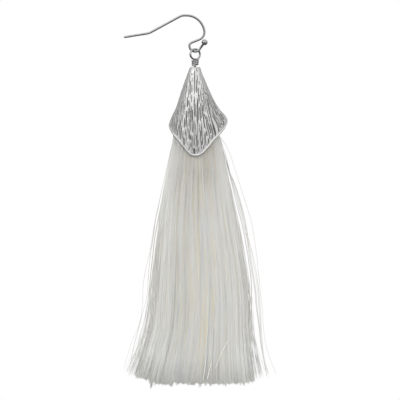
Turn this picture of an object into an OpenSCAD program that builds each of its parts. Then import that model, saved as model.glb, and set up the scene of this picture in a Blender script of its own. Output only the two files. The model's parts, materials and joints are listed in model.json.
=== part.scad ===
// Tassel earring: a bent ear wire with a ball end, a wrapped wire eye that hangs on it,
// a hollow cast cap with two hanging petals, and a long tassel under the cap.
// Millimetres. X is right, Z is up, and the front faces -Y. The origin is under the crown of the
// ear wire, where it hangs in the ear.

/* [Ear hook] */
// Thickness of the ear wire
hook_wire = 0.8; // [0.6:0.05:0.9]
// Radius of the large bend behind the crown
arch_r = 6.3; // [5.5:0.1:7.5]
// Straight rise from the tail's bend up to the crown
tail_rise = 11.3; // [8:0.1:15]
// Straight tail that ends the wire
tail_len = 7.7; // [4:0.1:12]
// Straight stretch from the neck to the loop
neck_run = 3; // [2.4:0.1:3.6]
// Radius of the loop's bottom bend, which carries the drop
loop_r = 1.85; // [1.7:0.05:2.2]
// Straight end of the loop, up to the ball
loop_end = 3.1; // [2:0.1:3.4]
// Diameter of the ball that ends the loop
ball_d = 2.1; // [1.6:0.1:2.4]

/* [Wire eye] */
// Thickness of the eye's wire
eye_wire = 0.7; // [0.5:0.05:0.8]
// Width of the eye, between wire centres
eye_w = 5.8; // [4.8:0.1:6.6]
// Height of the eye, between wire centres
eye_h = 3.6; // [3.4:0.1:5]
// Angle between the eye and the plane of the ear wire
eye_turn = 55; // [50:1:70]
// Gap between the eye and the loop that it hangs on
eye_gap = 0.14; // [0.1:0.01:0.25]
// Number of turns wrapped under the eye
wrap_turns = 2.9; // [1.5:0.1:3.5]
// Outer diameter of the wrapped turns
wrap_d = 2.6; // [2.1:0.1:3]

/* [Cap] */
// Height of the cap down to the tips of its front and back petals
cap_h = 31.3; // [28:0.1:36]
// Height of the cap down to its left corner
cap_left_h = 20.4; // [17:0.1:23]
// Height of the cap down to its right corner
cap_right_h = 18.9; // [16:0.1:22]
// Reach of the left corner from the drop's axis
cap_left = 9.2; // [8.8:0.1:11]
// Reach of the right corner from the drop's axis
cap_right = 11.3; // [10.5:0.1:13]
// Reach of the petals from the drop's axis, front and back
cap_depth = 7.8; // [7.6:0.1:9]
// Thickness of the cap's wall
cap_wall = 0.7; // [0.5:0.05:0.8]
// Thickness of the cap's roof
cap_roof = 0.8; // [0.6:0.05:1.2]
// Number of raised strokes round the cap
stroke_count = 32; // [20:2:36]
// Height of the raised strokes
stroke_h = 0.22; // [0.1:0.02:0.3]

/* [Tassel] */
// Length of the tassel below the tips of the cap
fringe_len = 80.6; // [60:0.5:100]
// Width of the tassel where it leaves the cap
neck_w = 16.2; // [13:0.1:18]
// Width of the tassel's ends
tassel_w = 45.5; // [40:0.5:52]
// Depth of the tassel's ends, front to back
tassel_d = 30; // [26:0.5:36]
// Number of locks round the outside
lock_count = 20; // [14:1:24]
// Number of locks in the middle
inner_locks = 7; // [5:1:9]

/* [Fits] */
// Gap between the stem and the hole in the cap's roof
stem_gap = 0.15; // [0.1:0.01:0.2]
// Gap between stacked pieces along the axis
seat_gap = 0.16; // [0.1:0.02:0.3]
// Gap between the tassel and the inside of the cap
head_gap = 0.3; // [0.2:0.02:0.5]

/* [Hidden] */

// Bends of the ear wire, walked from the crown: straight run, bend radius, turn in degrees
crown_flat = 0.9;
RUN = 0;
RADIUS = 1;
TURN = 2;
ring_bends = [
    [0, arch_r, -82],
    [0, 0.445 * arch_r, -76],
    [neck_run, 0.62 * loop_r, 76],
    [0, 1.3 * loop_r, 38],
    [0, loop_r, 98],
    [loop_end, 0, 0],
];
bottom_bend = 4;
tail_bends = [
    [crown_flat, 0.49 * arch_r, 28.6],
    [tail_rise, 0.825 * arch_r, -19.6],
    [tail_len, 0, 0],
];

bend_step = 8;
ball_steps = 9;
ball_pole = 170;
tip_round = 0.3;
tip_end = 0.6;
hook_sides = 12;
eye_sides = 8;
wrap_steps = 12;
// Angle between neighbouring points of the eye, and the angle either side of its foot where it closes in
eye_step = 12;
closing = 26;

// A place on the wire is [x, z, heading]
crown_right = [0, hook_wire / 2, 0];
crown_left = [0, hook_wire / 2, 180];
function ahead(at, run) = [at[0] + run * cos(at[2]), at[1] + run * sin(at[2]), at[2]];
function bend_side(row) = row[TURN] < 0 ? -1 : 1;
function bend_centre(at, row) =
    let (from = ahead(at, row[RUN]))
    [from[0] - bend_side(row) * row[RADIUS] * sin(at[2]), from[1] + bend_side(row) * row[RADIUS] * cos(at[2])];
function after_bend(at, row) =
    let (c = bend_centre(at, row), heading = at[2] + row[TURN], r = bend_side(row) * row[RADIUS])
    [c[0] + r * sin(heading), c[1] - r * cos(heading), heading];
function place(start, rows, i) = i == 0 ? start : after_bend(place(start, rows, i - 1), rows[i - 1]);

// The drop hangs on the lowest point of the loop
loop_centre = bend_centre(place(crown_right, ring_bends, bottom_bend), ring_bends[bottom_bend]);
drop_x = loop_centre[0];
drop_z = loop_centre[1] - loop_r;

// Heights down the drop
eye_top = drop_z + (hook_wire + eye_wire) / 2 + eye_gap;
eye_bottom = eye_top - eye_h;
wrap_pitch = 1.04 * eye_wire;
wrap_top = eye_bottom - 0.1 * eye_wire;
wrap_r = (wrap_d - eye_wire) / 2;
cap_top = wrap_top - wrap_turns * wrap_pitch - eye_wire / 2 - seat_gap;
stem_head_h = 0.4;
stem_head_r = 1.4 * eye_wire;
stem_head_top = cap_top - cap_roof - seat_gap;
tassel_top = stem_head_top - stem_head_h - seat_gap;

// Cap sections: share of the way from the roof to the rim, then each reach as a share of its corner's
WAY = 0;
LEFT = 1;
RIGHT = 2;
DEPTH = 3;
cap_rows = [
    [0.00, 0.180, 0.150, 0.225],
    [0.02, 0.213, 0.165, 0.270],
    [0.08, 0.262, 0.194, 0.360],
    [0.14, 0.312, 0.234, 0.432],
    [0.20, 0.360, 0.278, 0.500],
    [0.35, 0.478, 0.378, 0.650],
    [0.50, 0.585, 0.494, 0.790],
    [0.65, 0.690, 0.616, 0.895],
    [0.78, 0.812, 0.760, 0.955],
    [0.88, 0.918, 0.910, 0.985],
    [0.95, 0.978, 0.985, 1.000],
    [1.00, 1.000, 1.000, 1.000],
];
inner_ways = [1.00, 0.90, 0.75, 0.55, 0.35, 0.18];
stroke_fade = 0.2;
// Rim: angle from the corner towards the petal's tip, then share of the fall from corner to tip
rim_rows = [[0, 0], [16, 0.13], [35, 0.32], [54, 0.54], [66, 0.74], [77, 0.92], [84, 0.98], [90, 1]];
stroke_steps = 4;
cap_steps = stroke_count * stroke_steps;

function row_value(rows, way, column) = lookup(way, [for (row = rows) [row[0], row[column]]]);
function petal_angle(u) = asin(abs(sin(u)));
function corner_h(u) = cos(u) < 0 ? cap_left_h : cap_right_h;
function rim_h(u) = let (c = corner_h(u)) c + (cap_h - c) * lookup(petal_angle(u), rim_rows);
function side_reach(u, way) =
    cos(u) < 0 ? cap_left * row_value(cap_rows, way, LEFT) : cap_right * row_value(cap_rows, way, RIGHT);
function stroke_at(u, way) = stroke_h * (0.5 + 0.5 * cos(stroke_count * u)) * min(1, way / stroke_fade);
function cap_point(u, way, inset) =
    let (out = stroke_at(u, way) * (inset > 0 ? 0 : 1) - inset)
    [
        drop_x + (side_reach(u, way) + out) * cos(u),
        (cap_depth * row_value(cap_rows, way, DEPTH) + out) * sin(u),
        cap_top - way * rim_h(u),
    ];
function ring_point(u, r, z) = [drop_x + r * cos(u), r * sin(u), z];
hole_r = eye_wire / 2 + stem_gap;
roof_r = cap_left * cap_rows[0][LEFT] - 0.2 * cap_wall;
function cap_section(u) = concat(
    [ring_point(u, hole_r, cap_top)],
    [for (row = cap_rows) cap_point(u, row[WAY], 0)],
    [for (way = inner_ways) cap_point(u, way, cap_wall)],
    [ring_point(u, roof_r, cap_top - cap_roof), ring_point(u, hole_r, cap_top - cap_roof)]
);

// A closed ring of closed sections, as one skin
module ring_skin(sections) {
    n = len(sections);
    m = len(sections[0]);
    quads = [
        for (i = [0:n - 1], j = [0:m - 1])
            [i * m + j, ((i + 1) % n) * m + j, ((i + 1) % n) * m + (j + 1) % m, i * m + (j + 1) % m]
    ];
    triangles = [for (q = quads, k = [0, 1]) k == 0 ? [q[0], q[1], q[2]] : [q[0], q[2], q[3]]];
    polyhedron(points = [for (s = sections) each s], faces = triangles, convexity = 6);
}

// Room inside the cap at a distance below its top, with no limit past the rim
no_limit = 1000;
function room(below, h, reach, column) =
    below > h ? no_limit : reach * row_value(cap_rows, below / h, column) - cap_wall - head_gap;
// The tassel's head: share of the cap's height, then left and right as shares of half the neck's width
head_rows = [
    [0.055, 0.19, 0.18],
    [0.200, 0.40, 0.39],
    [0.400, 0.64, 0.67],
    [0.600, 0.86, 0.91],
    [0.800, 0.98, 1.06],
    [1.000, 1.10, 1.26],
];
// The tassel's fringe: share of its length, then left, right and depth as shares of half of each end size
fringe_rows = [
    [0.12, 0.49, 0.60, 0.60],
    [0.26, 0.57, 0.71, 0.71],
    [0.42, 0.66, 0.80, 0.81],
    [0.60, 0.78, 0.89, 0.89],
    [0.80, 0.91, 0.97, 0.96],
    [1.00, 1.04, 1.03, 1.00],
];
function head_section(row) =
    let (below = row == head_rows[0] ? cap_top - tassel_top : row[WAY] * cap_h)
    [
        below,
        min(row[LEFT] * neck_w / 2, room(below, cap_left_h, cap_left, LEFT)),
        min(row[RIGHT] * neck_w / 2, room(below, cap_right_h, cap_right, RIGHT)),
        room(below, cap_h, cap_depth, DEPTH),
    ];
function fringe_section(row) = [
    cap_h + row[WAY] * fringe_len,
    row[LEFT] * tassel_w / 2,
    row[RIGHT] * tassel_w / 2,
    row[DEPTH] * tassel_d / 2,
];
head_sections = [for (row = head_rows) head_section(row)];
sections = concat(head_sections, [for (row = fringe_rows) fringe_section(row)]);

lock_seed = 7;
drift = rands(-1, 1, 60, lock_seed);
short = rands(0, 1, 60, lock_seed + 4);
drift_turn = 5;
drift_reach = 0.03;
lock_sides = 8;
lock_ways = [-0.02, 0.12, 0.26, 0.42, 0.62, 0.84];
tip_size = 0.6;
end_fall = 0.035;
side_lift = 0.045;
core = 0.85;
core_ways = [0.12, 0.84];
outer_ring = 0.83;
outer_fill = 3.5;
inner_ring = 0.42;
inner_fill = 1.9;
inner_turn = 13;
slice = 0.05;

// One level slice of the tassel, whose outline at scale 1 is a circle of radius 1
module tassel_slice(below) {
    left = row_value(sections, below, LEFT);
    right = row_value(sections, below, RIGHT);
    translate([drop_x + (right - left) / 2, 0, cap_top - below])
        mirror([0, 0, 1])
            linear_extrude(height = slice)
                scale([(right + left) / 2, row_value(sections, below, DEPTH)])
                    children();
}
module fringe_slice(way) {
    tassel_slice(cap_h + way * fringe_len) children();
}
// The blunt tip of lock k stops short of the lowest tips, and more so at the left and right sides
function tip_way(k, u, ring) = 1 - end_fall * short[k] - side_lift * pow(ring * cos(u), 2);
module lock(k, u, ring, r) {
    ways = concat(lock_ways, [tip_way(k, u, ring)]);
    tip = len(ways) - 1;
    for (j = [0:tip - 1])
        hull() {
            lock_slice(k, u, ring, r, ways[j]);
            lock_slice(k, u, ring, j == tip - 1 ? r * tip_size : r, ways[j + 1]);
        }
}
module lock_slice(k, u, ring, r, way) {
    turn = u + drift_turn * drift[k] * way;
    out = ring * (1 + drift_reach * drift[k + lock_count] * max(0, way));
    fringe_slice(way)
        translate([out * cos(turn), out * sin(turn)])
            rotate(turn)
                circle(r, $fn = lock_sides);
}

// One skin along a path of points, with a radius at each point and a flat face at each end
function unit(v) = v / norm(v);
function path_tangents(p) = [for (i = [0:len(p) - 1]) unit(p[min(i + 1, len(p) - 1)] - p[max(i - 1, 0)])];
function across(n, t) = unit(n - (n * t) * t);
function path_normals(t, first) =
    [for (i = 0, n = across(first, t[0]); i < len(t); i = i + 1, n = i < len(t) ? across(n, t[i]) : n) n];
module swept_wire(points, radii, sides, first) {
    t = path_tangents(points);
    n = path_normals(t, first);
    rings = [
        for (i = [0:len(points) - 1], k = [0:sides - 1])
            let (u = 360 * k / sides)
            points[i] + radii[i] * (cos(u) * n[i] + sin(u) * cross(t[i], n[i]))
    ];
    last = (len(points) - 1) * sides;
    walls = [
        for (i = [0:len(points) - 2], k = [0:sides - 1], half = [0, 1])
            let (a = i * sides + k, b = i * sides + (k + 1) % sides)
            half == 0 ? [a, a + sides, b + sides] : [a, b + sides, b]
    ];
    near_end = [for (k = [0:sides - 1]) k];
    far_end = [for (k = [sides - 1:-1:0]) last + k];
    polyhedron(points = rings, faces = concat([near_end], walls, [far_end]), convexity = 8);
}

// Points of a list of bends, one every few degrees, without the last point
function bend_points(at, row) =
    let (c = bend_centre(at, row), s = bend_side(row) * row[RADIUS], n = ceil(abs(row[TURN]) / bend_step))
    concat(
        row[RUN] > 0 ? [[at[0], 0, at[1]]] : [],
        row[TURN] == 0 ? [] : [
            for (j = [0:n - 1])
                let (heading = at[2] + row[TURN] * j / n)
                [c[0] + s * sin(heading), 0, c[1] - s * cos(heading)]
        ]
    );
function trace(start, rows) = [for (i = [0:len(rows) - 1]) each bend_points(place(start, rows, i), rows[i])];
function end_point(start, rows) = let (at = place(start, rows, len(rows))) [at[0], 0, at[1]];

// The ear wire: rounded tip, tail, crown, arch, loop and ball, as one bent wire
module ear_hook() {
    r = hook_wire / 2;
    ball_r = ball_d / 2;
    tip = end_point(crown_left, tail_bends);
    tail = trace(crown_left, tail_bends);
    tip_way = unit(tip - tail[len(tail) - 1]);
    ring = trace(crown_right, ring_bends);
    ball = end_point(crown_right, ring_bends);
    ball_way = unit(ball - ring[len(ring) - 1]);
    entry = asin(r / ball_r);
    ball_angles = [for (k = [0:ball_steps]) entry + (ball_pole - entry) * k / ball_steps];
    points = concat(
        [tip + tip_round * r * tip_way, tip],
        [for (i = [len(tail) - 1:-1:1]) tail[i]],
        ring,
        [for (a = ball_angles) ball - ball_r * cos(a) * ball_way]
    );
    radii = concat(
        [tip_end * r],
        [for (i = [0:len(tail) + len(ring) - 1]) r],
        [for (a = ball_angles) ball_r * sin(a)]
    );
    color([0.78, 0.79, 0.8])
        swept_wire(points, radii, hook_sides, [0, 1, 0]);
}

// A smooth curve from a to d, leaving towards b and arriving from c
function curve(a, b, c, d, n) = [
    for (k = [0:n - 1])
        let (t = k / n, s = 1 - t)
        s * s * s * a + 3 * s * s * t * b + 3 * s * t * t * c + t * t * t * d
];

// One wire: it wraps round its own stem, rises into the eye, comes back and runs down through the cap
module eye_loop() {
    r = eye_wire / 2;
    half_w = eye_w / 2;
    half_h = eye_h / 2;
    middle = (eye_top + eye_bottom) / 2;
    wrap_count = ceil(wrap_turns * wrap_steps);
    wraps = [
        for (k = [0:wrap_count])
            let (turn = wrap_turns * (1 - k / wrap_count))
            [wrap_r * cos(-90 - 360 * turn), wrap_r * sin(-90 - 360 * turn), wrap_top - wrap_pitch * turn]
    ];
    oval = [
        for (u = [closing - 90:eye_step:270 - closing])
            [half_w * cos(u), 0, middle + half_h * sin(u)]
    ];
    leave = unit([half_w * cos(closing), 0, half_h * sin(closing)]);
    arrive = [leave[0], 0, -leave[2]];
    first = oval[0];
    last = oval[len(oval) - 1];
    from = wraps[len(wraps) - 1];
    stem = [0, 0, eye_bottom - r];
    rise = curve(from, from + [0.85 * eye_wire, 0, 0.15 * eye_wire], first - 0.7 * eye_wire * leave, first, 6);
    fall = curve(last, last + 0.9 * eye_wire * arrive, stem + [0, 0, 0.7 * eye_wire], stem, 7);
    foot = [[0, 0, stem_head_top], [0, 0, stem_head_top], [0, 0, stem_head_top - stem_head_h]];
    path = concat(
        [for (k = [0:len(wraps) - 2]) wraps[k]],
        rise,
        oval,
        [for (k = [1:len(fall) - 1]) fall[k]],
        [stem],
        foot
    );
    // Wound left-handed, so the turns fall towards the right in front
    points = [for (p = path) [-p[0], p[1], p[2]]];
    radii = [for (k = [0:len(points) - 1]) k < len(points) - 2 ? r : stem_head_r];
    color([0.72, 0.73, 0.74])
        translate([drop_x, 0, 0])
            rotate([0, 0, eye_turn])
                swept_wire(points, radii, eye_sides, [0, 0, 1]);
}

// The cast cap: one wall with a hole in its roof, two corners and two petals
module cap() {
    color([0.62, 0.62, 0.6])
        ring_skin([for (i = [0:cap_steps - 1]) cap_section(-360 * i / cap_steps)]);
}

// The tassel: a head that fills the cap, and locks fused to it that end in ragged tips
module tassel() {
    color([0.85, 0.84, 0.8])
        union() {
            for (i = [0:len(head_sections) - 2])
                hull() {
                    tassel_slice(head_sections[i][WAY]) circle(1, $fn = 32);
                    tassel_slice(head_sections[i + 1][WAY]) circle(1, $fn = 32);
                }
            hull() {
                fringe_slice(0) circle(1, $fn = 32);
                fringe_slice(core_ways[0]) circle(core, $fn = 32);
            }
            for (i = [0:len(core_ways) - 2])
                hull() {
                    fringe_slice(core_ways[i]) circle(core, $fn = 32);
                    fringe_slice(core_ways[i + 1]) circle(core, $fn = 32);
                }
            for (k = [0:lock_count - 1])
                lock(k, 360 * k / lock_count, outer_ring, outer_fill / lock_count);
            for (k = [0:inner_locks - 1])
                lock(lock_count + k, 360 * k / inner_locks + inner_turn, inner_ring, inner_fill / inner_locks);
        }
}

ear_hook();
eye_loop();
cap();
tassel();
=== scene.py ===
# Tassel earring: bent ear wire, wrapped wire eye, cast cap with two petals, long pale tassel.
# Metres, X right, Z up, the front faces -Y. Lengths in the pieces' dictionaries are millimetres.
import json
import math
import random

import bmesh
import bpy
from mathutils import Matrix, Vector, noise


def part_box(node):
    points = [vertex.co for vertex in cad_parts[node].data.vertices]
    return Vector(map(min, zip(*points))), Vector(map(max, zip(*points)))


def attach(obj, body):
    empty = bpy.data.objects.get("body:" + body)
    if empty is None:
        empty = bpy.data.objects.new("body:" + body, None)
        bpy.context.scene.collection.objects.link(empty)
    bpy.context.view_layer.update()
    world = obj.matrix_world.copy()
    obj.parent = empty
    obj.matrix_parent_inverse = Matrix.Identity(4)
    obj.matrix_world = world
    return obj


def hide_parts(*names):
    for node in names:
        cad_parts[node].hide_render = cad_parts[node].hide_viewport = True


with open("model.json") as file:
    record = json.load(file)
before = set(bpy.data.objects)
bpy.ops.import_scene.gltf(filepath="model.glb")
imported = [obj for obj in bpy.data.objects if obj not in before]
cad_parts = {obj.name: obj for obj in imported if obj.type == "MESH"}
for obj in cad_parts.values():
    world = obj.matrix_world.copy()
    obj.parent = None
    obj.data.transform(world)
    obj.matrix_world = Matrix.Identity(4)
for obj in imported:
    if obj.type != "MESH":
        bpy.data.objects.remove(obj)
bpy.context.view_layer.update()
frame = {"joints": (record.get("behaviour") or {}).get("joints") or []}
mm = 0.001

# the drop hangs on its pivot, and everything on it is measured down from the cap's top
pivot = Vector(frame["joints"][0]["pos_m"])
dropX = pivot.x / mm
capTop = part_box("cap")[1].z / mm


def smoothValue(rows, at, column):
    # a smooth curve through a table whose first column says where each row sits
    last = len(rows) - 1
    k = 0
    while k < last - 1 and at > rows[k + 1][0]:
        k += 1

    def slope(i):
        low, high = rows[max(i - 1, 0)], rows[min(i + 1, last)]
        return (high[column] - low[column]) / (high[0] - low[0])

    span = rows[k + 1][0] - rows[k][0]
    t = min(1.0, max(0.0, (at - rows[k][0]) / span))
    a, b = rows[k][column], rows[k + 1][column]
    m, n = slope(k) * span, slope(k + 1) * span
    start = ((2 * t - 3) * t * t + 1) * a + ((t - 2) * t + 1) * t * m
    return start + (3 - 2 * t) * t * t * b + (t - 1) * t * t * n


def ease(t):
    t = min(1.0, max(0.0, t))
    return t * t * (3 - 2 * t)


def hump(at, centre, width):
    # 1 at the centre, and less and less on both sides of it
    return math.exp(-((at - centre) / width) ** 2)


def turnBetween(a, b):
    # the angle between two directions, the short way round
    return abs((a - b + math.pi) % (2 * math.pi) - math.pi)


def smoothSides(bm):
    # smooth all round, but flat on the end faces, so that no shade creeps up from an end
    for f in bm.faces:
        f.smooth = len(f.verts) < 5


def ringedTube(columns, rings, closed):
    # an upright tube of unit size, with rings of points between its two ends
    bm = bmesh.new()
    bmesh.ops.create_cone(bm, cap_ends=closed, segments=columns, radius1=1, radius2=1, depth=1)
    rungs = [e for e in bm.edges if abs(e.verts[0].co.z - e.verts[1].co.z) > 0.5]
    bmesh.ops.subdivide_edges(bm, edges=rungs, cuts=rings, use_grid_fill=True)
    return bm


def bareMesh(name, bm):
    mesh = bpy.data.meshes.new(name)
    bm.to_mesh(mesh)
    bm.free()
    return mesh


def finishedMesh(name, bm):
    # from millimetres to metres, with its faces turned outwards
    bmesh.ops.scale(bm, verts=bm.verts, vec=(mm, mm, mm))
    bmesh.ops.recalc_face_normals(bm, faces=bm.faces)
    smoothSides(bm)
    return bareMesh(name, bm)


def addToScene(name, data):
    added = bpy.data.objects.new(name, data)
    bpy.context.scene.collection.objects.link(added)
    return added


def writeMask(mesh, name, values):
    mesh.attributes.new(name, "FLOAT", "POINT").data.foreach_set("value", values)


def addPiece(name, mesh, material, body, stands):
    piece = addToScene(name, mesh)
    mesh.materials.append(material)
    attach(piece, body)
    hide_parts(stands)
    print("piece", name, len(mesh.polygons))


# Shader helpers

def newTree(owner):
    owner.use_nodes = True
    owner.node_tree.nodes.clear()
    return owner.node_tree


def addNode(tree, kind, values=None, **settings):
    node = tree.nodes.new(kind)
    for key, value in settings.items():
        setattr(node, key, value)
    for key, value in (values or {}).items():
        node.inputs[key].default_value = value
    return node


def join(tree, source, output, target, socket):
    tree.links.new(source.outputs[output], target.inputs[socket])


def readMask(tree, name):
    return addNode(tree, "ShaderNodeAttribute", attribute_name=name)


def remap(tree, low, high, start=0.0, end=1.0, **settings):
    # a value from low to high becomes one from start to end
    values = {"From Min": low, "From Max": high, "To Min": start, "To Max": end}
    return addNode(tree, "ShaderNodeMapRange", values, **settings)


def newMaterial(name, values):
    # a material with its shader, already joined to the output
    material = bpy.data.materials.new(name)
    tree = newTree(material)
    end = addNode(tree, "ShaderNodeOutputMaterial")
    shader = addNode(tree, "ShaderNodeBsdfPrincipled", values)
    join(tree, shader, "BSDF", end, "Surface")
    return material, tree, shader


def newGroup(name, ins, outs):
    # a shader node group with number inputs, each with its usual value, and named outputs
    group = bpy.data.node_groups.new(name, "ShaderNodeTree")
    for label, value in ins.items():
        socket = group.interface.new_socket(label, in_out="INPUT", socket_type="NodeSocketFloat")
        socket.default_value = value
    for label in outs:
        group.interface.new_socket(label, in_out="OUTPUT", socket_type="NodeSocketFloat")
    return group, group.nodes.new("NodeGroupInput"), group.nodes.new("NodeGroupOutput")


def placeGroup(tree, group, values):
    return addNode(tree, "ShaderNodeGroup", values, node_tree=group)


def mixColours(tree, first, second, **settings):
    # its inputs 0, 6 and 7 are the factor and the two colours, and output 2 is the mixed colour
    node = addNode(tree, "ShaderNodeMix", data_type="RGBA", **settings)
    if first:
        node.inputs[6].default_value = (*first, 1)
    if second:
        node.inputs[7].default_value = (*second, 1)
    return node


def handlingGroup():
    # what wear leaves on metal: cloudy smudges and fine hairline marks, in object space
    sizes = {"Smudge size": 900, "Mark size": 3200}
    group, inside, out = newGroup("handling marks", sizes, ["Smudge", "Marks"])
    place = addNode(group, "ShaderNodeTexCoord")
    cloud = addNode(group, "ShaderNodeTexNoise", {"Detail": 4, "Roughness": 0.6})
    stretch = addNode(group, "ShaderNodeMapping", {"Scale": (1, 1, 0.18)})
    marks = addNode(group, "ShaderNodeTexNoise", {"Detail": 5, "Roughness": 0.7})
    join(group, place, "Object", cloud, "Vector")
    join(group, place, "Object", stretch, "Vector")
    join(group, stretch, "Vector", marks, "Vector")
    join(group, inside, "Smudge size", cloud, "Scale")
    join(group, inside, "Mark size", marks, "Scale")
    join(group, cloud, "Fac", out, "Smudge")
    join(group, marks, "Fac", out, "Marks")
    return group


handling = handlingGroup()


def wireMaterial(name, look):
    material, tree, shader = newMaterial(name, {"Metallic": 1.0})
    marks = placeGroup(tree, handling, {"Smudge size": look["smudgeSize"], "Mark size": look["markSize"]})
    # the mask read here is painted shade between the wrapped turns; the smudges are real handling marks
    wrapShade = readMask(tree, "wrapShade")
    smudged = remap(tree, 0.35, 0.75, 0, look["smudge"])
    smudgeAndShade = addNode(tree, "ShaderNodeMath", operation="MAXIMUM")
    tone = mixColours(tree, look["bright"], look["dark"])
    rough = remap(tree, 0, 1, look["gloss"], look["matt"])
    bump = addNode(tree, "ShaderNodeBump", {"Strength": look["bump"], "Distance": 0.00004})
    join(tree, marks, "Smudge", smudged, "Value")
    join(tree, smudged, "Result", smudgeAndShade, 0)
    join(tree, wrapShade, "Fac", smudgeAndShade, 1)
    join(tree, smudgeAndShade, 0, tone, 0)
    join(tree, tone, 2, shader, "Base Color")
    join(tree, smudgeAndShade, 0, rough, "Value")
    join(tree, rough, "Result", shader, "Roughness")
    join(tree, marks, "Marks", bump, "Height")
    join(tree, bump, "Normal", shader, "Normal")
    return material


# Ear wire: bent from the tip of the tail to the ball, each bend spun round its own centre

earWire = {
    "wire": 0.80,
    "tailLen": 7.7,
    "tailRise": 11.3,
    "crownFlat": 0.9,
    "arch": 6.3,
    "neckRun": 3.0,
    "loop": 1.85,
    "loopEnd": 3.1,
    "ball": 2.1,
    "tailSlope": 9.0,  # degrees
    "sides": 28,
    "bendStep": 3.0,  # degrees
    "ballSteps": 16,
    "filed": [(0.93, 0.36), (0.75, 0.3), (0.4, 0.18)],  # how much narrower and further on, step by step
    "look": {
        "bright": (0.50, 0.505, 0.51),
        "dark": (0.24, 0.24, 0.25),
        "gloss": 0.27,
        "matt": 0.45,
        "smudge": 0.35,
        "smudgeSize": 700,
        "markSize": 2600,
        "bump": 0.25,
    },
}


def openEnd(geometry):
    # the points and edges of an end, each once
    verts = dict.fromkeys(g for g in geometry if isinstance(g, bmesh.types.BMVert))
    around = (e for v in verts for e in v.link_edges)
    edges = dict.fromkeys(e for e in around if e.verts[0] in verts and e.verts[1] in verts)
    return list(verts), list(edges)


def runWire(bm, edges, way):
    grown = bmesh.ops.extrude_edge_only(bm, edges=edges)
    verts, edges = openEnd(grown["geom"])
    bmesh.ops.translate(bm, verts=verts, vec=way)
    return verts, edges


def bendWire(bm, verts, edges, centre, turn, step):
    spun = bmesh.ops.spin(
        bm, geom=verts + edges, cent=centre, axis=(0, -1, 0), dvec=(0, 0, 0), angle=turn,
        steps=math.ceil(abs(turn) / step), use_merge=False, use_normal_flip=False, use_duplicate=False,
    )
    return openEnd(spun["geom_last"])


def heading(angle):
    return Vector((math.cos(angle), 0, math.sin(angle)))


def earWireMesh(e):
    r = e["wire"] / 2
    ballR = e["ball"] / 2
    entry = math.asin(r / ballR)
    bends = [  # straight run, bend radius, turn in degrees, from the tail to the ball
        (e["tailLen"], 0.825 * e["arch"], 19.6),
        (e["tailRise"], 0.49 * e["arch"], -28.6),
        (e["crownFlat"], e["arch"], -82),
        (0, 0.445 * e["arch"], -76),
        (e["neckRun"], 0.62 * e["loop"], 76),
        (0, 1.3 * e["loop"], 38),
        (0, e["loop"], 98),
        (e["loopEnd"] - ballR * math.cos(entry), 0, 0),
    ]
    bm = bmesh.new()
    angle = math.radians(e["tailSlope"])
    at = Vector((0, 0, 0))
    start = bmesh.ops.create_circle(bm, cap_ends=False, segments=e["sides"], radius=r)
    bmesh.ops.rotate(bm, verts=start["verts"], cent=at, matrix=Matrix.Rotation(math.pi / 2 - angle, 3, "Y"))
    verts, edges = openEnd(start["verts"])
    # the cut end of the tail is filed round
    tipEdges = edges
    for size, push in e["filed"]:
        tip, tipEdges = runWire(bm, tipEdges, -push * r * heading(angle))
        centre = sum((v.co for v in tip), Vector()) / len(tip)
        bmesh.ops.scale(bm, verts=tip, vec=(size,) * 3, space=Matrix.Translation(-centre))
    bmesh.ops.contextual_create(bm, geom=tip + tipEdges)
    for run, radius, turn in bends:
        if run:
            at = at + run * heading(angle)
            verts, edges = runWire(bm, edges, run * heading(angle))
        if radius == e["arch"]:
            crown = at.copy()
        if turn:
            # the centre lies to the side that the wire turns to
            reach = math.copysign(radius, turn)
            centre = at + reach * Vector((-math.sin(angle), 0, math.cos(angle)))
            step = math.radians(e["bendStep"])
            verts, edges = bendWire(bm, verts, edges, centre, math.radians(turn), step)
            angle += math.radians(turn)
            at = centre - reach * Vector((-math.sin(angle), 0, math.cos(angle)))
    # the ball melted on the end
    way = heading(angle)
    steps = e["ballSteps"]
    for k in range(1, steps + 1):
        before = entry + (math.pi - entry) * (k - 1) / steps
        now = entry + (math.pi - entry) * k / steps
        push = ballR * (math.cos(before) - math.cos(now)) * way
        verts, edges = runWire(bm, edges, push)
        at = at + push
        if k < steps:
            size = math.sin(now) / math.sin(before)
            bmesh.ops.scale(bm, verts=verts, vec=(size,) * 3, space=Matrix.Translation(-at))
        else:
            bmesh.ops.pointmerge(bm, verts=verts, merge_co=at)
    bmesh.ops.translate(bm, verts=bm.verts, vec=Vector((0, 0, r)) - crown)
    mesh = finishedMesh("ear_wire", bm)
    # the ear wire has no painted shade between turns, so this mask is zero on it
    writeMask(mesh, "wrapShade", [0.0] * len(mesh.vertices))
    return mesh


polished = wireMaterial("polished ear wire", earWire["look"])
addPiece("ear_wire", earWireMesh(earWire), polished, "hook", "ear_hook")
print("stage: ear wire bent")


# Wire eye: one wire wraps its own stem, rises round the eye, comes back and runs down through the cap

wireEye = {
    "wire": 0.70,
    "width": 5.8,
    "height": 3.6,
    "turned": 55,  # degrees across the ear wire's loop
    "gap": 0.14,
    "turns": 2.9,
    "wrapWidth": 2.6,
    "pitch": 1.04,  # as a share of the wire
    "wobble": 0.05,
    "closing": 26,  # degrees that the oval leaves out on each side of its lowest point
    "roof": 0.8,
    "seatGap": 0.16,
    "head": 1.4,  # as a share of the wire
    "headH": 0.4,
    "sides": 20,
    "turnSteps": 30,
    "look": {
        "bright": (0.58, 0.585, 0.59),
        "dark": (0.16, 0.16, 0.16),
        "gloss": 0.26,
        "matt": 0.5,
        "smudge": 0.35,
        "smudgeSize": 900,
        "markSize": 3000,
        "bump": 0.25,
    },
}


def bezier(a, b, c, d, count):
    return [(1 - t) ** 3 * a + 3 * (1 - t) ** 2 * t * b + 3 * (1 - t) * t * t * c + t ** 3 * d
            for t in (k / count for k in range(count))]


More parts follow.
